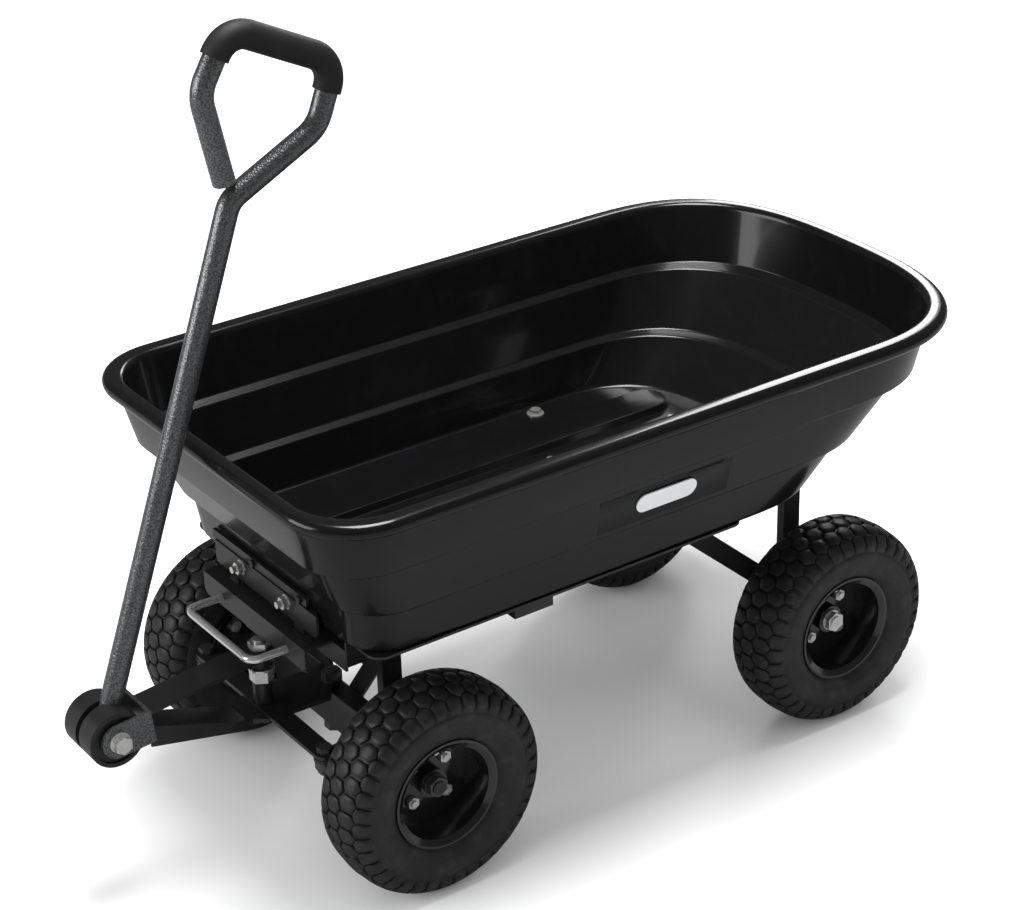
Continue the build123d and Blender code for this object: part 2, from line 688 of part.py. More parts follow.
def handle_path():
    """Centre line: straight tube, then a bent loop that comes back to the tube's side."""
    rise = loop_half_width / math.tan(math.radians(loop_leg_angle))
    foot = (0, -12.0)
    neck = loop_point(0, 0)
    right = loop_point(loop_half_width, rise + 6)
    top = rise + 6 + loop_side
    top_right = loop_point(loop_half_width - 6, top)
    top_left = loop_point(-loop_half_width + 6, top)
    left = loop_point(-loop_half_width, rise + 6)
    end_share = 0.17
    end = loop_point(-loop_half_width * end_share, (rise + 6) * end_share)
    return foot, neck, right, top_right, top_left, left, end


def make_handle_tube():
    """Bent steel tube of the handle, hollow, cut open where the loop ends."""
    foot, neck, right, top_right, top_left, left, end = handle_path()
    with BuildLine(handle_frame) as path:
        FilletPolyline(foot, neck, right, top_right, top_left, left, end, radius=[30, 42, 30, 30, 42])
    tube_plane = Plane(origin=path.line @ 0, z_dir=path.line % 0)
    outer = sweep(tube_plane * Circle(handle_tube_diameter / 2), path=path.line)
    inner = sweep(tube_plane * Circle(handle_tube_diameter / 2 - 2), path=path.line)
    tube = outer - inner
    return tube - rod_x(-40, 40, handle_pivot_y, handle_pivot_z, 12.2)


def make_grip():
    """Foam sleeve over the top bar of the loop and round its corners."""
    foot, neck, right, top_right, top_left, left, end = handle_path()
    share = 0.45
    low_right = (top_right[0] + (right[0] - top_right[0]) * share, top_right[1] + (right[1] - top_right[1]) * share)
    low_left = (top_left[0] + (left[0] - top_left[0]) * share, top_left[1] + (left[1] - top_left[1]) * share)
    with BuildLine(handle_frame) as path:
        FilletPolyline(low_right, top_right, top_left, low_left, radius=[30, 30])
    plane = Plane(origin=path.line @ 0, z_dir=path.line % 0)
    outer = sweep(plane * Circle(grip_diameter / 2), path=path.line)
    inner = sweep(plane * Circle(handle_tube_diameter / 2 + running), path=path.line)
    return outer - inner


def make_hub_disc(side):
    """Plastic hub disc beside the handle foot, with a raised rim and a groove for the tube."""
    near = 4.0
    far = yoke_gap / 2 - clear
    disc = rod_x(*across(side, near, far), handle_pivot_y, handle_pivot_z, 2 * hub_disc_radius)
    recess = rod_x(*across(side, far - 3, far + 1), handle_pivot_y, handle_pivot_z, 2 * hub_disc_radius - 10)
    boss = rod_x(*across(side, far - 3, far), handle_pivot_y, handle_pivot_z, 26)
    disc = disc - recess + boss
    with BuildLine(handle_frame) as path:
        Line((0, -14), (0, 60))
    plane = Plane(origin=path.line @ 0, z_dir=path.line % 0)
    groove = sweep(plane * Circle(handle_tube_diameter / 2 + running), path=path.line)
    disc = disc - groove
    return disc - rod_x(-60, 60, handle_pivot_y, handle_pivot_z, 12 + 2 * running)


def make_handle_bolt():
    """Pivot bolt through the yoke and the hub, with its nut."""
    half = yoke_gap / 2 + 4
    bolt = rod_x(-half - 2, half + 11, handle_pivot_y, handle_pivot_z, 12)
    head = hexagon_x(-half - 9, handle_pivot_y, handle_pivot_z, 8, 19)
    washer = rod_x(half + 0.2, half + 2, handle_pivot_y, handle_pivot_z, 24)
    nut = hexagon_x(half + 2, handle_pivot_y, handle_pivot_z, 9, 19)
    return bolt + head + washer + nut


# ---- release lever -------------------------------------------------------------------
def make_lever():
    """U-shaped rod: its two arms slide through the latch face towards the catch tongues."""
    with BuildLine() as path:
        FilletPolyline((-lever_half_width, lever_rear_y, lever_z), (-lever_half_width, lever_front_y, lever_z),
                       (lever_half_width, lever_front_y, lever_z), (lever_half_width, lever_rear_y, lever_z),
                       radius=13)
    plane = Plane(origin=path.line @ 0, z_dir=path.line % 0)
    return sweep(plane * Circle(lever_rod / 2), path=path.line)


# ---- braces, axle and fasteners -------------------------------------------------------
def make_rear_brace(side):
    """Flat diagonal from the rail down to the rear axle."""
    face_x = side * (rail_web_x + steel + 0.2)
    start = (face_x, brace_top_y, frame_bolt_z)
    end = (face_x, rear_axle_y, axle_z)
    bar = bar_between(start, end, brace_width, brace_thickness, (side, 0, 0))
    through = across(side, rail_web_x - 5, rail_web_x + 15)
    bar = bar - rod_x(*through, brace_top_y, frame_bolt_z, bolt_hole)
    return bar - rod_x(*through, rear_axle_y, axle_z, axle_diameter + 2 * running)


def make_front_strut(side):
    """Flat strut from the middle of the beam up to the top of the front leg, behind both."""
    face_y = beam_width / 2 + brace_thickness + 0.2
    start = (side * 13, face_y, beam_bottom_z + 24)
    end = (side * 116, face_y, web_bottom_z + 8)
    return bar_between(start, end, 22, brace_thickness, (0, -1, 0))


def make_rear_axle():
    """Solid rear axle through both rear legs."""
    end = wheel_x + hub_outer + axle_thread
    axle = rod_x(-end, end, rear_axle_y, axle_z, axle_diameter)
    for side in (-1, 1):
        inner = side * (rail_web_x + steel + brace_thickness + 1)
        outer = side * (wheel_x + hub_inner - clear)
        axle = axle + rod_x(min(inner, outer), max(inner, outer), rear_axle_y, axle_z, 22)
    return axle


def axle_nut(side, y):
    """Washer and nut on the end of an axle."""
    face = wheel_x + hub_outer + clear
    washer = rod_x(*sorted((side * face, side * (face + 1.8))), y, axle_z, 26)
    base = face + 1.8 if side > 0 else -face - 1.8 - 8
    nut = hexagon_x(base, y, axle_z, 8, 22)
    bore = rod_x(-400, 400, y, axle_z, axle_diameter + running)
    return washer + nut - bore


def make_floor_fastener(x, y, grip_depth):
    """Bolt with a washer inside the tub and a nut below."""
    top = tub_floor_z + tub_wall
    low = tub_floor_z - grip_depth
    shank = rod_z(x, y, low - 8, top + 1, 8)
    washer = rod_z(x, y, top + 0.1, top + 1.8, 22)
    head = hexagon_z(x, y, top + 1.8, 5, 13)
    nut = hexagon_z(x, y, low - 6.6, 6.4, 13)
    return shank + washer + head + nut


def make_catch_bolt(x):
    """Bolt through the catch plate, the packing strip and the tub wall."""
    back = tub_front_y + 76 + tub_wall + 1
    shank = rod_y(x, catch_face_y - 14, back + 5, catch_bolt_z, bolt)
    washer = rod_y(x, catch_face_y - 1.7, catch_face_y - 0.1, catch_bolt_z, 17)
    nut = hexagon_y(x, catch_face_y - 1.7, catch_bolt_z, 6.5, bolt_flats)
    head = hexagon_y(x, back + 5.5, catch_bolt_z, 5.5, bolt_flats)
    return shank + washer + nut + head


def make_frame_bolt(side, y):
    """Bolt through the rail web and the leg or brace beside it, its nut on the inside."""
    on_leg = y == 0.0
    face = rail_web_x + steel + (0.1 if on_leg else brace_thickness + 0.4)
    back = rail_web_x - (steel + 0.4 if on_leg else 0.1)
    shank = rod_x(*sorted((side * (face + 3), side * (back - 8))), y, frame_bolt_z, bolt - 0.2)
    head_x = face if side > 0 else -face - 5
    nut_x = back - 6.5 if side > 0 else -back
    return shank + hexagon_x(head_x, y, frame_bolt_z, 5, 13) + hexagon_x(nut_x, y, frame_bolt_z, 6.5, 13)


def make_shelf_bolt(x):
    """Bolt through the latch shelf and the front cross member, its nut below."""
    low = shelf_top_z - 2 * steel - 0.6
    shank = rod_z(x, shelf_bolt_y, low - 9, shelf_top_z + 1, bolt - 0.2)
    head = hexagon_z(x, shelf_bolt_y, shelf_top_z + 0.1, 5, bolt_flats)
    return shank + head + hexagon_z(x, shelf_bolt_y, low - 6.5, 6.5, bolt_flats)


def make_hinge_pin():
    """Pivot rod of the tub across both rails, with a retaining washer at each end."""
    end = rail_web_x + steel + 6
    rod = rod_x(-end, end, hinge_y, hinge_z, hinge_pin_diameter)
    for side in (-1, 1):
        low, high = sorted((side * (rail_web_x + steel + 0.3), side * (rail_web_x + steel + 2.3)))
        rod = rod + rod_x(low, high, hinge_y, hinge_z, 20)
    return rod


def make_badge():
    """Blank oval plate set on the right-hand side of the tub's middle tier."""
    tilt = math.degrees(math.atan2(15, 64))
    plate = extrude(SlotOverall(84, 24), 1.6)
    wall_x = tub_half_width - 37 + 15 * (badge_rise - 58) / 64
    return Pos(wall_x + 0.3, badge_y, tub_floor_z + badge_rise) * Rot(0, 90 + tilt, 0) * Rot(0, 0, 90) * plate


# ---- export --------------------------------------------------------------------------
sides = (("left", -1), ("right", 1))

export("tub", make_tub())
export("catch_plate", make_catch_plate())
export("catch_spacer", make_catch_spacer(), make_upper_strip())
export("badge_plate", make_badge())
strap_bolts = [make_floor_fastener(x, y, steel + 0.4) for x, y in floor_bolts if abs(x) == strap_x]
buffer_bolts = [make_floor_fastener(x, y, 0.4) for x, y in floor_bolts if abs(x) != strap_x]
export("tub_bolts", *strap_bolts, *buffer_bolts, *[make_catch_bolt(side * catch_bolt_x) for side in (-1, 1)])

export("front_cross_member", make_cross_member(rail_front_y, rail_front_y + 26, 281.5, 26))
export("mid_cross_member", make_cross_member(mid_member_y - 24, mid_member_y + 24, 285, 26))
export("front_axle_beam", make_beam())
export("rear_axle", make_rear_axle())
export("hinge_pin", make_hinge_pin())
export("latch_bracket", make_latch_bracket())
export("front_struts", *[make_front_strut(side) for side in (-1, 1)])
frame_bolts = [make_frame_bolt(side, y) for side in (-1, 1) for y in frame_bolt_y]
rear_nuts = [axle_nut(side, rear_axle_y) for side in (-1, 1)]
shelf_bolts = [make_shelf_bolt(side * shelf_bolt_x) for side in (-1, 1)]
export("frame_fasteners", *frame_bolts, *shelf_bolts, *rear_nuts)

for name, side in sides:
    export(f"hinge_strap_{name}", make_hinge_strap(side))
    export(f"rail_{name}", make_rail(side))
    export(f"front_leg_{name}", make_leg(side, 0.0, beam_top_z + 6, 288))
    export(f"rear_leg_{name}", make_leg(side, rear_axle_y, axle_z - 16, 288))
    export(f"rear_brace_{name}", make_rear_brace(side))
    export(f"knuckle_bracket_{name}", make_knuckle_bracket(side))
    export(f"steering_arm_{name}", make_steering_arm(side))
    export(f"spindle_{name}", make_spindle(side))
    export(f"link_fasteners_{name}", make_link_bolts(side), make_link_bush(side), axle_nut(side, 0.0))
    export(f"hub_disc_{name}", make_hub_disc(side))

export("tongue", make_tongue())
export("upper_arm", make_upper_arm())
export("yoke", make_yoke())
export("link_pin", *make_link_pin())
export("pin_spacers", *make_spacers())
export("drawbar_kingpin", make_kingpin_bolt())
export("tie_bar", make_tie_bar())
export("release_lever", make_lever())

export("handle_tube", make_handle_tube())
export("handle_grip", make_grip())
export("handle_bolt", make_handle_bolt())

for end_name, y in (("front", 0.0), ("rear", rear_axle_y)):
    for name, side in sides:
        label = f"{end_name}_{name}"
        x = side * wheel_x
        export(f"{label}_tyre", make_tyre(x, y))
        export(f"{label}_rim", make_rim(x, y, side))
        export(f"{label}_hub", make_hub(x, y, side))
        export(f"{label}_wheel_bolts", *make_wheel_fasteners(x, y, side))
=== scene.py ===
import json
import math
import bmesh
import bpy
import numpy as np
from mathutils import Matrix


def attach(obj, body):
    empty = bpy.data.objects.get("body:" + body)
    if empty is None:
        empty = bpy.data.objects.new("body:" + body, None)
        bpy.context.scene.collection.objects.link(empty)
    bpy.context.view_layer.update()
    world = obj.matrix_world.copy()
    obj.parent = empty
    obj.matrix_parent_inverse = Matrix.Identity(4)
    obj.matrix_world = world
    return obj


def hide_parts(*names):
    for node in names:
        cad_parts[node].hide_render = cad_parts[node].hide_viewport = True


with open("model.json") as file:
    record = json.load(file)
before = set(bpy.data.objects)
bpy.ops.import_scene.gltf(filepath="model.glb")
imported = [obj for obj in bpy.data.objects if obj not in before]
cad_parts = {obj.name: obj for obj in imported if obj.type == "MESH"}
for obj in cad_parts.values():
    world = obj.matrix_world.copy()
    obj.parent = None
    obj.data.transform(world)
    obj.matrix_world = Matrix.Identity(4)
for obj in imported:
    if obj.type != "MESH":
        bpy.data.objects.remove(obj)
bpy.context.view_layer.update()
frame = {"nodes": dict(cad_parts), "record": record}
nodes = frame["nodes"]
scene = bpy.context.scene
print("frame loaded, nodes:", len(nodes))


# ---------- mesh helpers

def gridMesh(name, grids):
    # a grid holds points of the shape (nu, nv, 3); quads join neighbours, and every row closes on itself
    verts, faces, start = [], [], 0
    for points in grids:
        nu, nv = points.shape[:2]
        index = np.arange(nu * nv).reshape(nu, nv) + start
        index = np.hstack([index, index[:, :1]])
        quads = np.stack([index[:-1, :-1], index[1:, :-1], index[1:, 1:], index[:-1, 1:]], -1)
        verts.append(points.reshape(-1, 3))
        faces.append(quads.reshape(-1, 4))
        start += nu * nv
    verts = np.concatenate(verts)
    faces = np.concatenate(faces)
    mesh = bpy.data.meshes.new(name)
    mesh.vertices.add(len(verts))
    mesh.vertices.foreach_set("co", verts.astype(np.float32).ravel())
    mesh.loops.add(faces.size)
    mesh.loops.foreach_set("vertex_index", faces.astype(np.int32).ravel())
    mesh.polygons.add(len(faces))
    mesh.polygons.foreach_set("loop_start", np.arange(0, faces.size, 4, dtype=np.int32))
    mesh.update(calc_edges=True)
    mesh.validate()
    piece = bpy.data.objects.new(name, mesh)
    scene.collection.objects.link(piece)
    cleanMesh(mesh)
    return piece


def cleanMesh(mesh):
    # merge the doubles at seams and poles, drop empty faces, turn every face outwards
    work = bmesh.new()
    work.from_mesh(mesh)
    bmesh.ops.remove_doubles(work, verts=work.verts, dist=1e-5)
    bmesh.ops.dissolve_degenerate(work, edges=work.edges, dist=1e-6)
    bmesh.ops.recalc_face_normals(work, faces=work.faces)
    work.to_mesh(mesh)
    work.free()
    mesh.polygons.foreach_set("use_smooth", np.full(len(mesh.polygons), True))
    mesh.update()


def roundedRun(rows, radii):
    # a polyline in any number of parameters, its inner corners replaced by quadratic arcs of the given reach
    arcPoints, longestShare, tiny = 5, 0.45, 1e-9
    rows = np.asarray(rows, float)
    run = [rows[0]]
    for here, before, after, reach in zip(rows[1:-1], rows[:-2], rows[2:], radii):
        back, ahead = before - here, after - here
        start = here + back * min(longestShare, reach / max(np.linalg.norm(back[:2]), tiny))
        end = here + ahead * min(longestShare, reach / max(np.linalg.norm(ahead[:2]), tiny))
        for t in np.linspace(0, 1, arcPoints):
            run.append((1 - t) ** 2 * start + 2 * t * (1 - t) * here + t ** 2 * end)
    run.append(rows[-1])
    return np.array(run)


def finishPiece(piece, body, material, replaced=()):
    piece.data.materials.clear()
    piece.data.materials.append(material)
    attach(piece, body)
    if replaced:
        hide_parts(*replaced)


# ---------- material helpers

def newGroup(name, inputs, outputs):
    group = bpy.data.node_groups.new(name, "ShaderNodeTree")
    for label, kind, value in inputs:
        socket = group.interface.new_socket(label, in_out="INPUT", socket_type=kind)
        socket.default_value = value
    for label, kind in outputs:
        group.interface.new_socket(label, in_out="OUTPUT", socket_type=kind)
    return group, group.nodes.new("NodeGroupInput"), group.nodes.new("NodeGroupOutput")


def addNode(tree, kind, **settings):
    node = tree.nodes.new(kind)
    for key, value in settings.items():
        setattr(node, key, value)
    return node


def mixNode(tree, kind, factor, first, second):
    # a Mix node of the given data type with its factor and two inputs joined or set
    node = addNode(tree, "ShaderNodeMix", data_type=kind)
    spots = {"FLOAT": (0, 2, 3, 0), "RGBA": (0, 6, 7, 2)}[kind]
    for spot, value in zip(spots[:3], (factor, first, second)):
        if isinstance(value, bpy.types.NodeSocket):
            tree.links.new(value, node.inputs[spot])
        else:
            node.inputs[spot].default_value = value
    return node.outputs[spots[3]]


def mathNode(tree, operation, *values):
    node = addNode(tree, "ShaderNodeMath", operation=operation)
    for spot, value in enumerate(values):
        if isinstance(value, bpy.types.NodeSocket):
            tree.links.new(value, node.inputs[spot])
        else:
            node.inputs[spot].default_value = value
    return node.outputs[0]


def buildGrainGroup():
    # fine moulded grain: a fine noise gives the height, a broad noise gives slow drift in colour and sheen
    group, given, out = newGroup("moulded grain", [
        ("Scale", "NodeSocketFloat", 900.0), ("Broad Scale", "NodeSocketFloat", 6.0)],
        [("Height", "NodeSocketFloat"), ("Drift", "NodeSocketFloat")])
    where = addNode(group, "ShaderNodeTexCoord")
    fine = addNode(group, "ShaderNodeTexNoise")
    fine.inputs["Detail"].default_value = 3.0
    broad = addNode(group, "ShaderNodeTexNoise")
    broad.inputs["Detail"].default_value = 2.0
    for noise, scale in ((fine, "Scale"), (broad, "Broad Scale")):
        group.links.new(where.outputs["Object"], noise.inputs["Vector"])
        group.links.new(given.outputs[scale], noise.inputs["Scale"])
    group.links.new(fine.outputs["Fac"], out.inputs["Height"])
    group.links.new(broad.outputs["Fac"], out.inputs["Drift"])
    return group


def buildDustGroup():
    # thin uneven dust: one noise pushed through a soft threshold and scaled by the cover
    group, given, out = newGroup("thin dust", [
        ("Scale", "NodeSocketFloat", 30.0), ("Cover", "NodeSocketFloat", 0.5)],
        [("Mask", "NodeSocketFloat")])
    where = addNode(group, "ShaderNodeTexCoord")
    noise = addNode(group, "ShaderNodeTexNoise")
    noise.inputs["Detail"].default_value = 6.0
    noise.inputs["Roughness"].default_value = 0.65
    group.links.new(where.outputs["Object"], noise.inputs["Vector"])
    group.links.new(given.outputs["Scale"], noise.inputs["Scale"])
    ramp = addNode(group, "ShaderNodeMapRange", interpolation_type="SMOOTHSTEP")
    group.links.new(noise.outputs["Fac"], ramp.inputs["Value"])
    ramp.inputs["From Min"].default_value = 0.45
    ramp.inputs["From Max"].default_value = 0.75
    mask = mathNode(group, "MULTIPLY", ramp.outputs["Result"], given.outputs["Cover"])
    group.links.new(mask, out.inputs["Mask"])
    return group


grainGroup = buildGrainGroup()
dustGroup = buildDustGroup()


def useGroup(tree, group, **values):
    node = addNode(tree, "ShaderNodeGroup", node_tree=group)
    for key, value in values.items():
        node.inputs[key.replace("_", " ")].default_value = value
    return node


def finish(name, spec):
    # colour and roughness drift with a broad noise, fine grain makes the bump, dust lies on top
    dustColour, dustRough = (0.25, 0.24, 0.22), 0.75
    material = bpy.data.materials.new(name)
    material.use_nodes = True
    tree = material.node_tree
    shader = tree.nodes["Principled BSDF"]
    grain = useGroup(tree, grainGroup, Scale=spec["grainScale"], Broad_Scale=spec.get("broadScale", 6.0))
    dust = useGroup(tree, dustGroup, Scale=spec.get("dustScale", 30.0), Cover=spec.get("dust", 0.0))
    drift = grain.outputs["Drift"]
    colour = mixNode(tree, "RGBA", drift, (*spec["dark"], 1.0), (*spec["light"], 1.0))
    colour = mixNode(tree, "RGBA", dust.outputs["Mask"], colour, (*dustColour, 1.0))
    rough = mixNode(tree, "FLOAT", drift, spec["rough"][0], spec["rough"][1])
    rough = mixNode(tree, "FLOAT", dust.outputs["Mask"], rough, dustRough)
    tree.links.new(colour, shader.inputs["Base Color"])
    tree.links.new(rough, shader.inputs["Roughness"])
    shader.inputs["Metallic"].default_value = spec.get("metal", 0.0)
    shader.inputs["Specular IOR Level"].default_value = spec.get("specular", 0.5)
    shader.inputs["Coat Weight"].default_value = spec.get("coat", 0.0)
    shader.inputs["Coat Roughness"].default_value = spec.get("coatRough", 0.1)
    bump = addNode(tree, "ShaderNodeBump")
    bump.inputs["Strength"].default_value = spec["bump"]
    bump.inputs["Distance"].default_value = spec.get("bumpDepth", 0.0002)
    tree.links.new(grain.outputs["Height"], bump.inputs["Height"])
    tree.links.new(bump.outputs["Normal"], shader.inputs["Normal"])
    return material, tree, shader, bump


def buildHammered(name):
    # hammered enamel: smooth Voronoi cells make shallow dimples, their rims catch a lighter silver
    silver = (0.15, 0.152, 0.155, 1.0)
    material, tree, shader, bump = finish(name, {
        "dark": (0.045, 0.046, 0.048), "light": (0.075, 0.076, 0.079), "rough": (0.26, 0.34),
        "grainScale": 900.0, "bump": 0.1, "metal": 0.75, "coat": 0.3, "coatRough": 0.12})
    where = addNode(tree, "ShaderNodeTexCoord")
    cells = addNode(tree, "ShaderNodeTexVoronoi", feature="SMOOTH_F1")
    cells.inputs["Scale"].default_value = 520.0
    cells.inputs["Smoothness"].default_value = 0.7
    tree.links.new(where.outputs["Object"], cells.inputs["Vector"])
    dimple = addNode(tree, "ShaderNodeBump")
    dimple.inputs["Strength"].default_value = 0.55
    dimple.inputs["Distance"].default_value = 0.0007
    tree.links.new(cells.outputs["Distance"], dimple.inputs["Height"])
    tree.links.new(bump.outputs["Normal"], dimple.inputs["Normal"])
    tree.links.new(dimple.outputs["Normal"], shader.inputs["Normal"])
    base = shader.inputs["Base Color"].links[0].from_socket
    speck = addNode(tree, "ShaderNodeMapRange", interpolation_type="SMOOTHSTEP")
    tree.links.new(cells.outputs["Distance"], speck.inputs["Value"])
    speck.inputs["From Min"].default_value = 0.25
    speck.inputs["From Max"].default_value = 0.65
    colour = mixNode(tree, "RGBA", speck.outputs["Result"], base, silver)
    tree.links.new(colour, shader.inputs["Base Color"])
    return material


finishes = {
    "tubPoly": {"dark": (0.003, 0.003, 0.0033), "light": (0.0045, 0.0045, 0.005), "rough": (0.2, 0.25),
                "grainScale": 1400.0, "broadScale": 5.0, "bump": 0.03, "bumpDepth": 0.0002, "specular": 0.18,
                "coat": 0.35, "coatRough": 0.07,
                "dust": 0.006, "dustScale": 40.0},
    "framePaint": {"dark": (0.007, 0.007, 0.0076), "light": (0.012, 0.012, 0.013), "rough": (0.3, 0.38),
                   "grainScale": 700.0, "bump": 0.18, "bumpDepth": 0.0003, "specular": 0.5, "dust": 0.02},
    "rimPaint": {"dark": (0.004, 0.004, 0.0045), "light": (0.007, 0.007, 0.0078), "rough": (0.12, 0.18),
                 "grainScale": 500.0, "bump": 0.06, "coat": 0.6, "coatRough": 0.06},
    "tyreRubber": {"dark": (0.0075, 0.0075, 0.0078), "light": (0.012, 0.012, 0.0124), "rough": (0.42, 0.54),
                   "grainScale": 1100.0, "broadScale": 14.0, "bump": 0.25, "bumpDepth": 0.0003,
                   "specular": 0.4, "dust": 0.05, "dustScale": 60.0},
    "gripFoam": {"dark": (0.006, 0.006, 0.0065), "light": (0.011, 0.011, 0.0118), "rough": (0.5, 0.62),
                 "grainScale": 1700.0, "bump": 0.5, "bumpDepth": 0.0004, "specular": 0.35},
    "hubPlastic": {"dark": (0.006, 0.006, 0.0066), "light": (0.011, 0.011, 0.0118), "rough": (0.34, 0.44),
                   "grainScale": 1200.0, "bump": 0.12, "specular": 0.45},
    "zinc": {"dark": (0.5, 0.5, 0.49), "light": (0.85, 0.85, 0.83), "rough": (0.18, 0.28), "metal": 0.85,
             "grainScale": 400.0, "broadScale": 120.0, "bump": 0.12},
    "darkZinc": {"dark": (0.05, 0.05, 0.05), "light": (0.1, 0.1, 0.1), "rough": (0.28, 0.4), "metal": 0.7,
                 "grainScale": 400.0, "broadScale": 120.0, "bump": 0.12},
    "chrome": {"dark": (0.72, 0.72, 0.72), "light": (0.82, 0.82, 0.82), "rough": (0.14, 0.2), "metal": 0.8,
               "grainScale": 600.0, "broadScale": 40.0, "bump": 0.03},
    "badgeSilver": {"dark": (0.62, 0.63, 0.64), "light": (0.72, 0.73, 0.74), "rough": (0.25, 0.32),
                    "metal": 0.15, "grainScale": 900.0, "bump": 0.04, "coat": 0.5},
}
materials = {name: finish(name, spec)[0] for name, spec in finishes.items()}
materials["hammered"] = buildHammered("hammered")
slotFinish = {
    "tub_poly": "tubPoly", "frame_paint": "framePaint", "hammered_paint": "hammered", "rim_paint": "rimPaint",
    "tyre_rubber": "tyreRubber", "grip_foam": "gripFoam", "hub_plastic": "hubPlastic",
    "zinc": "zinc", "dark_zinc": "darkZinc", "lever_chrome": "chrome", "badge": "badgeSilver",
}
for entry in frame["record"]["subparts"]:
    node = nodes[entry["node"]]
    node.data.materials.clear()
    node.data.materials.append(materials[slotFinish[entry["material_slot"]]])
print("materials placed on the CAD nodes")

frontAxleY = -0.2345  # front axle line in the shared frame

# ---------- tub

tub = {"wall": 0.0035, "power": 2.8, "cornerSteps": 12, "rearSteps": 72, "sideSteps": 14, "frontSteps": 6,
       "panelY": (0.218, 0.403), "panelZ": (0.3655, 0.4105), "panelDepth": 0.0006, "panelEdge": 0.0009,
       "floorZ": 0.300, "middle": (0.12, 0.42), "rimZ": 0.495, "rimOut": 0.012, "rollOuter": 0.009,
       "rollInner": 0.0062}
# metres from the front axle: height, half width, front, rear, depth of the round rear end, front corner radius
tubLevels = [
    (0.300, 0.197, -0.066, 0.607, 0.150, 0.050),
    (0.354, 0.205, -0.074, 0.667, 0.170, 0.054),
    (0.358, 0.215, -0.084, 0.680, 0.176, 0.060),
    (0.422, 0.230, -0.113, 0.741, 0.186, 0.064),
    (0.426, 0.241, -0.125, 0.757, 0.196, 0.070),
    (0.488, 0.252, -0.140, 0.770, 0.200, 0.075),
]


def sideStations(first, last):
    # places along a straight side: even runs with close pairs at the two ends of the side panel
    edge = tub["panelEdge"]
    marks = [mark + step for mark in tub["panelY"] for step in (-edge, 0.0, edge, 2 * edge)]
    even = np.linspace(0, 1, tub["sideSteps"], endpoint=False)
    between = marks[3] + even[1:] * (marks[4] - marks[3])
    beyond = marks[7] + even[1:] * (last - marks[7])
    return np.concatenate([first + even * (marks[0] - first), marks[:4], between, marks[4:], beyond])


def panelRecess(points):
    # draw the outer skin in by a small even depth inside the side panel, with a short ramp at its border
    edge = tub["panelEdge"]
    inside = np.ones(points.shape[:2])
    for axis, (low, high) in ((1, tub["panelY"]), (2, tub["panelZ"])):
        away = np.minimum(points[..., axis] - low, high - points[..., axis])
        inside = inside * np.clip(away / edge, 0.0, 1.0)
    points[..., 0] -= np.sign(points[..., 0]) * inside * tub["panelDepth"]
    return points


def tubOutline(row):
    # plan of the tub for one set of sizes: straight front, round corners, straight sides, superellipse rear
    z, half, front, rear, depth, corner = row
    smallest, most = 1e-6, 0.999
    corner = max(min(corner, half * most), smallest)
    shoulder = rear - depth
    lead = np.linspace(0, 1, tub["frontSteps"], endpoint=False)
    part = [np.stack([lead * (half - corner), np.full_like(lead, front)], 1)]
    turn = np.linspace(-math.pi / 2, 0, tub["cornerSteps"], endpoint=False)
    part.append(np.stack([half - corner + corner * np.cos(turn), front + corner + corner * np.sin(turn)], 1))
    run = sideStations(front + corner, shoulder)
    part.append(np.stack([np.full_like(run, half), run], 1))
    turn = np.linspace(0, math.pi / 2, tub["rearSteps"] // 2 + 1)
    reach = (np.cos(turn) ** tub["power"] + np.sin(turn) ** tub["power"]) ** (-1 / tub["power"])
    part.append(np.stack([half * reach * np.cos(turn), shoulder + depth * reach * np.sin(turn)], 1))
    right = np.concatenate(part)
    left = right[1:-1][::-1] * np.array([-1.0, 1.0])
    plan = np.concatenate([right, left])
    return np.column_stack([plan, np.full(len(plan), z)])


def insetRow(row, inset, lift=0.0):
    z, half, front, rear, depth, corner = row
    return (z + lift, half - inset, front + inset, rear - inset, depth - inset, corner - inset / 2)


def middleRow(z):
    # the plan shrunk to a short line along the middle of the floor
    return (z, 1e-6, *tub["middle"], 1e-6, 1e-7)


def rimRow(out, z):
    # a row of the rolled rim, out metres beyond the top of the wall
    return (z, 0.252 + out, -0.1345 - out * 0.81, 0.770 + out * 0.86, 0.200 + out, 0.075 + out / 2)


def rollRow(radius, angle):
    # a row on the rolled rim at an angle round the middle of the roll
    return rimRow(tub["rimOut"] + radius * math.cos(angle), tub["rimZ"] + radius * math.sin(angle))


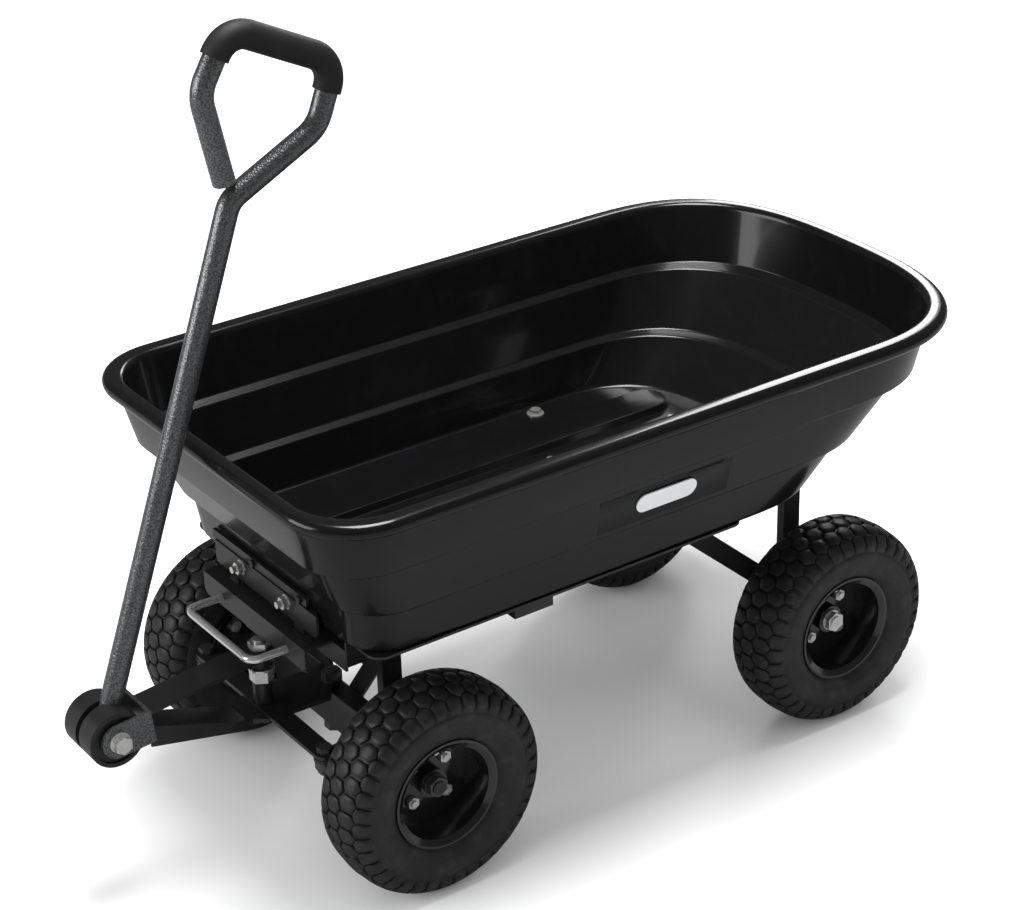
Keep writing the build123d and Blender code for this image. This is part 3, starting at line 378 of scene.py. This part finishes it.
def tubShell():
    # profile from the middle of the floor up the inside, over the rolled rim and down the outside, carried
    # round the plan
    wall = tub["wall"]
    inner = [insetRow(level, wall, wall) for level in tubLevels]
    floor = inner[0]
    middle = middleRow(floor[0])
    half = tuple((a + b) / 2 for a, b in zip(floor, middle))
    topZ = tub["rimZ"] + tub["rollOuter"]
    inside = [middle, half] + inner[:5] + [rimRow(-wall, topZ), rimRow(0.0125, topZ)]
    insideRadii = [0.001, 0.004, 0.0016, 0.0016, 0.0016, 0.0016, 0.0075]
    turn = np.radians(np.linspace(80, -115, 14))
    roll = [rollRow(tub["rollOuter"], t) for t in turn]
    back = np.radians(np.linspace(-115, 60, 10))
    under = [rollRow(tub["rollInner"], t) for t in back]
    bottom = tubLevels[0]
    outside = [rimRow(0.008, 0.4985), rimRow(0.0, 0.4965)] + tubLevels[:0:-1] + [bottom, middleRow(bottom[0])]
    outsideRadii = [0.002, 0.003, 0.0016, 0.0016, 0.0016, 0.0016, 0.006]
    inner = np.concatenate([roundedRun(inside, insideRadii), np.array(roll), np.array(under)])
    outer = roundedRun(outside, outsideRadii)
    # extra rows at the upper and lower border of the side panel, found between the neighbouring rows
    edge = tub["panelEdge"]
    heights = np.array([mark + step for mark in tub["panelZ"] for step in (-edge, 0.0, edge)])
    fall = np.flatnonzero(outer[:, 0] > tub["panelZ"][0] - 2 * edge)[-1]
    upper = np.flatnonzero(outer[:, 0] < tub["panelZ"][1] + 2 * edge)[0]
    part = outer[upper - 1:fall + 2][::-1]
    columns = range(outer.shape[1])
    extra = np.stack([np.interp(heights, part[:, 0], part[:, column]) for column in columns], 1)
    outer = np.concatenate([outer[:upper], extra[::-1], outer[fall + 1:]])
    skin = panelRecess(np.stack([tubOutline(row) for row in outer]))
    return np.concatenate([np.stack([tubOutline(row) for row in inner]), skin])


def pillOutline(half, low, high):
    # closed plan of a round-ended bar along Y
    turn = np.linspace(0, math.pi, floorRib["endSteps"])
    rear = np.stack([half * np.cos(turn), high - half + half * np.sin(turn)], 1)
    front = np.stack([-half * np.cos(turn), low + half - half * np.sin(turn)], 1)
    return np.concatenate([rear, front])


floorRib = {"places": (-0.111, 0.0, 0.111), "half": 0.029, "front": -0.020, "rear": 0.572, "height": 0.009,
            "foot": 0.004, "sunk": 0.0006, "draft": 0.0032, "endSteps": 20}


def ribGrid(x):
    # raised floor rib: round-ended outlines drawn in and up, with a soft foot and a rounded shoulder
    floor = tub["wall"] + tub["floorZ"]
    top = floor + floorRib["height"]
    profile = roundedRun([(-floorRib["foot"], floor - floorRib["sunk"]), (0.0, floor), (floorRib["draft"], top),
                          (floorRib["half"] - 1e-5, top)], [0.0015, 0.0014])
    rows = []
    for inset, z in profile:
        plan = pillOutline(floorRib["half"] - inset, floorRib["front"] + inset, floorRib["rear"] - inset)
        rows.append(np.column_stack([plan[:, 0] + x, plan[:, 1], np.full(len(plan), z)]))
    return np.stack(rows)


shift = np.array([0.0, frontAxleY, 0.0])
tubPiece = gridMesh("tubShell", [tubShell() + shift])
finishPiece(tubPiece, "tipping_tub", materials["tubPoly"], ["tub"])
ribPiece = gridMesh("floorRibs", [ribGrid(x) + shift for x in floorRib["places"]])
finishPiece(ribPiece, "tipping_tub", materials["tubPoly"])
print("tub shell and floor ribs made")

# ---------- tyres

tyre = {"radius": 0.1275, "half": 0.0425, "bead": 0.0600, "around": 192, "blocks": 38, "rows": 5,
        "tread": 0.0032, "groove": 0.0028, "halfTrack": 0.203, "wheelbase": 0.576, "shoulder": 0.1020,
        "turned": 0.07}


def tyreSection():
    # half section of the carcass from bead to crown, as offset from the middle and radius, then mirrored
    r, w = tyre["radius"] - tyre["tread"], tyre["half"]
    half = roundedRun([
        (0.0268, tyre["bead"] - 0.0006), (0.0318, tyre["bead"] + 0.0062), (0.0352, tyre["bead"] + 0.0098),
        (0.0366, tyre["bead"] + 0.0116), (w - 0.0008, 0.0830), (w - 0.0004, 0.0960), (w - 0.0012, 0.0995),
        (w - 0.0022, 0.1015), (w - 0.0055, 0.1120), (w * 0.62, r - 0.0022), (0.0, r)],
        [0.003, 0.0015, 0.001, 0.008, 0.003, 0.0008, 0.001, 0.006, 0.009])
    other = half[:-1][::-1] * np.array([-1.0, 1.0])
    return np.concatenate([half, other])


def crownCurve():
    # tread surface across the tyre: running length from the middle, offset and radius of the block tops' base
    section = tyreSection()
    keep = section[section[:, 1] > tyre["shoulder"]]
    step = np.linalg.norm(np.diff(keep, axis=0), axis=1)
    length = np.concatenate([[0], np.cumsum(step)])
    return length - length[-1] / 2, keep


def onTread(length, angle, lift):
    # a point from its length across the tread, its angle round the wheel and its height above the carcass
    runs, keep = crownCurve()
    offset = np.interp(length, runs, keep[:, 0])
    radius = np.interp(length, runs, keep[:, 1])
    step = 0.0008
    dx = np.interp(length + step, runs, keep[:, 0]) - np.interp(length - step, runs, keep[:, 0])
    dr = np.interp(length + step, runs, keep[:, 1]) - np.interp(length - step, runs, keep[:, 1])
    size = np.hypot(dx, dr) + 1e-12
    nx, nr = -dr / size, dx / size
    flip = np.where(nr < 0, -1.0, 1.0)
    offset = offset + nx * flip * lift
    radius = radius + nr * flip * lift
    return np.stack([offset, radius * np.sin(angle), radius * np.cos(angle)], -1)


def densified(ring):
    # a closed ring of corners with one point more between each pair
    pairs = np.stack([ring, (ring + np.roll(ring, -1, 0)) / 2], 1)
    return pairs.reshape(-1, 2)


def treadBlocks():
    # staggered six-sided blocks: each is a small grid of rings from its foot up its sides to its middle
    runs = crownCurve()[0]
    pitch = (runs[-1] - runs[0]) / (tyre["rows"] - 0.25)
    stepAngle = 2 * math.pi / tyre["blocks"]
    around = stepAngle * tyre["radius"]
    corners = np.array([(-0.5, -0.33), (0.5, -0.33), (0.5, 0.33), (-0.5, 0.33), (0.0, 0.62), (0.0, -0.62)])
    order = np.array([0, 5, 1, 2, 4, 3])
    lug = np.array([(-0.5, -0.5), (-0.42, 0.62), (0.42, 0.62), (0.5, -0.5), (0.2, -0.62), (-0.2, -0.62)])
    size = np.array([around - tyre["groove"], pitch - tyre["groove"] * 0.8])
    shapes = [densified(corners[order]) * size, densified(lug) * size * np.array([1.0, 0.98])]
    layers = [(1.0, -0.0006), (0.975, tyre["tread"] * 0.85), (0.93, tyre["tread"]), (0.45, tyre["tread"]),
              (1e-4, tyre["tread"])]
    scales, lifts = np.array(layers).T
    lifts = lifts[:, None]
    grids = []
    for row in range(tyre["rows"]):
        middle = (row - (tyre["rows"] - 1) / 2) * pitch * 0.985
        shape = shapes[row in (0, tyre["rows"] - 1)] * np.array([1.0, -1.0 if row == 0 else 1.0])
        for block in range(tyre["blocks"]):
            turn = (block + 0.5 * (row % 2)) * stepAngle
            across = middle + np.outer(scales, shape[:, 1])
            along = turn + np.outer(scales, shape[:, 0]) / tyre["radius"]
            grids.append(onTread(across, along, lifts))
    return grids


def tyreGrids():
    section = tyreSection()
    turn = np.linspace(0, 2 * math.pi, tyre["around"], endpoint=False)
    offset = np.repeat(section[:, 0][:, None], len(turn), 1)
    radius = np.repeat(section[:, 1][:, None], len(turn), 1)
    carcass = np.stack([offset, radius * np.sin(turn), radius * np.cos(turn)], -1)
    return [carcass] + treadBlocks()


wheelPlaces = {f"{end}_{side}": (sign * tyre["halfTrack"], y + frontAxleY, tyre["radius"])
               for end, y in (("front", 0.0), ("rear", tyre["wheelbase"]))
               for side, sign in (("left", -1), ("right", 1))}
treadGrids = tyreGrids()
for number, (label, place) in enumerate(wheelPlaces.items()):
    roll = tyre["turned"] * number
    spin = np.array([[1, 0, 0], [0, math.cos(roll), -math.sin(roll)], [0, math.sin(roll), math.cos(roll)]])
    moved = [points @ spin.T + np.array(place) for points in treadGrids]
    piece = gridMesh(f"{label}_treadTyre", moved)
    finishPiece(piece, f"{label}_wheel", materials["tyreRubber"], [f"{label}_tyre"])
print("tyres made")

# ---------- floor, lights and camera

# floor and surroundings are darker in reflections (mirrored, dim) than seen directly (floorColour, pale)
studio = {"floorColour": (0.9, 0.9, 0.905), "mirrored": (0.26, 0.26, 0.265), "dim": 0.09, "pale": 0.85,
          "floorReach": 9.0, "floorRough": 0.8, "floorSpecular": 0.1}


def buildFloor():
    edge = studio["floorReach"]
    corners = [(-edge, -edge, 0), (edge, -edge, 0), (edge, edge, 0), (-edge, edge, 0)]
    mesh = bpy.data.meshes.new("studioFloor")
    mesh.from_pydata(corners, [], [(0, 1, 2, 3)])
    floor = bpy.data.objects.new("studioFloor", mesh)
    scene.collection.objects.link(floor)
    material = bpy.data.materials.new("studioFloor")
    material.use_nodes = True
    tree = material.node_tree
    shader = tree.nodes["Principled BSDF"]
    path = addNode(tree, "ShaderNodeLightPath")
    colour = mixNode(tree, "RGBA", path.outputs["Is Glossy Ray"], (*studio["floorColour"], 1.0),
                     (*studio["mirrored"], 1.0))
    tree.links.new(colour, shader.inputs["Base Color"])
    shader.inputs["Roughness"].default_value = studio["floorRough"]
    shader.inputs["Specular IOR Level"].default_value = studio["floorSpecular"]
    mesh.materials.append(material)


def areaLight(name, place, target, size, power):
    data = bpy.data.lights.new(name, "AREA")
    data.shape = "RECTANGLE"
    data.size, data.size_y = size
    data.energy = power
    light = bpy.data.objects.new(name, data)
    away = np.array(place, float) - np.array(target, float)
    away /= np.linalg.norm(away)
    upright = abs(away[2]) > 0.99
    side = np.cross([0, 1.0, 0] if upright else [0, 0, 1.0], away)
    side /= np.linalg.norm(side)
    upward = np.cross(away, side)
    turn = Matrix([[side[i], upward[i], away[i]] for i in range(3)])
    light.matrix_world = Matrix.Translation(place) @ turn.to_4x4()
    scene.collection.objects.link(light)


def buildWorld():
    world = bpy.data.worlds.new("studio")
    world.use_nodes = True
    tree = world.node_tree
    background = tree.nodes["Background"]
    background.inputs["Color"].default_value = (1.0, 1.0, 1.0, 1.0)
    path = addNode(tree, "ShaderNodeLightPath")
    strength = mixNode(tree, "FLOAT", path.outputs["Is Glossy Ray"], studio["pale"], studio["dim"])
    tree.links.new(strength, background.inputs["Strength"])
    scene.world = world


buildFloor()
buildWorld()
areaLight("topSoftbox", (-0.1, 0.3, 3.6), (0, 0, 0), (1.5, 1.5), 150.0)
areaLight("frontSoftbox", (-0.9, -3.2, 1.5), (0, 0, 0.3), (2.2, 1.6), 60.0)
areaLight("rearSoftbox", (-2.3, 2.6, 2.2), (0, 0, 0.3), (0.7, 1.6), 34.0)

cameraView = {"place": (2.1839, -1.2451 + frontAxleY, 1.7127), "target": (-0.1075, 0.334 + frontAxleY, 0.2991),
              "roll": -1.6, "lens": 89.88046875, "sensor": 36.0}


def buildCamera():
    place = np.array(cameraView["place"])
    back = place - np.array(cameraView["target"])
    back /= np.linalg.norm(back)
    side = np.cross([0, 0, 1.0], back)
    side /= np.linalg.norm(side)
    upward = np.cross(back, side)
    roll = math.radians(cameraView["roll"])
    across = math.cos(roll) * side + math.sin(roll) * upward
    rise = -math.sin(roll) * side + math.cos(roll) * upward
    data = bpy.data.cameras.new("viewCamera")
    data.lens = cameraView["lens"]
    data.sensor_width = cameraView["sensor"]
    data.sensor_fit = "HORIZONTAL"
    camera = bpy.data.objects.new("viewCamera", data)
    turn = Matrix([[across[i], rise[i], back[i]] for i in range(3)])
    camera.matrix_world = Matrix.Translation(place) @ turn.to_4x4()
    scene.collection.objects.link(camera)
    scene.camera = camera


buildCamera()
scene.view_settings.view_transform = "Standard"
print("stage, lights and camera set")
